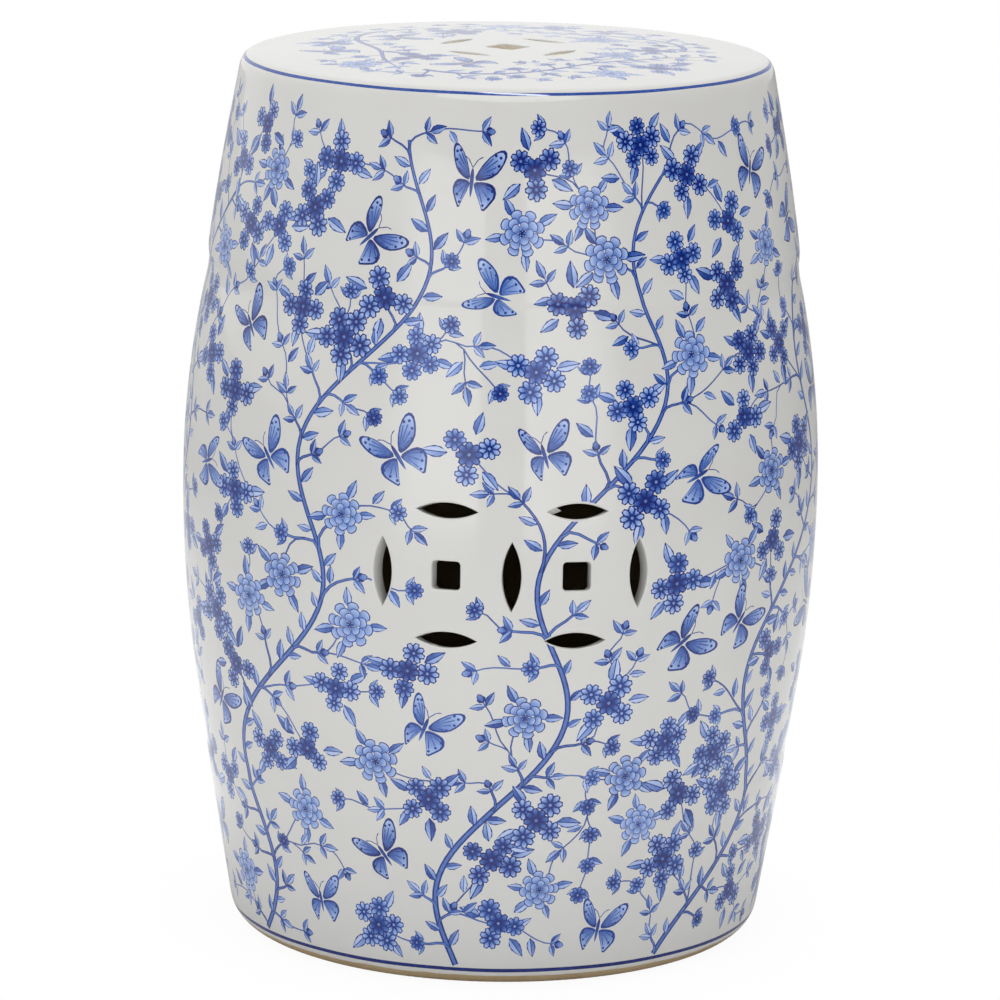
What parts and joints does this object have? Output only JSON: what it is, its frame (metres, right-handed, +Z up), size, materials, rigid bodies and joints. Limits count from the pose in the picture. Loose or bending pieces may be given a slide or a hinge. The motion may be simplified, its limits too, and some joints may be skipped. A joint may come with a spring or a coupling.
{
  "type": "garden stool",
  "caption": "Hollow barrel-shaped ceramic garden stool with a softly crowned seat, coin piercings in seat and belly, and a bare clay foot; a seat or side table.",
  "frame": {"origin": "on the floor, at the middle of the foot ring, on the drum's axis", "axes": "+Z up along the drum's axis; -Y out of the middle of the front piercing; +X to the right seen from the front"},
  "size_m": [0.33, 0.33, 0.4605],
  "materials": {
    "glazed_stoneware": "glossy off-white glaze with blue underglaze decoration",
    "bare_clay": "unglazed buff stoneware"
  },
  "bodies": {
    "root": {"seat_top": "glazed_stoneware", "upper_wall": "glazed_stoneware", "belly_wall": "glazed_stoneware", "lower_wall": "glazed_stoneware", "foot_ring": "bare_clay", "seat_luting_coil": "bare_clay", "upper_luting_coil": "bare_clay", "lower_luting_coil": "bare_clay", "foot_luting_coil": "bare_clay"}
  },
  "joints": []
}
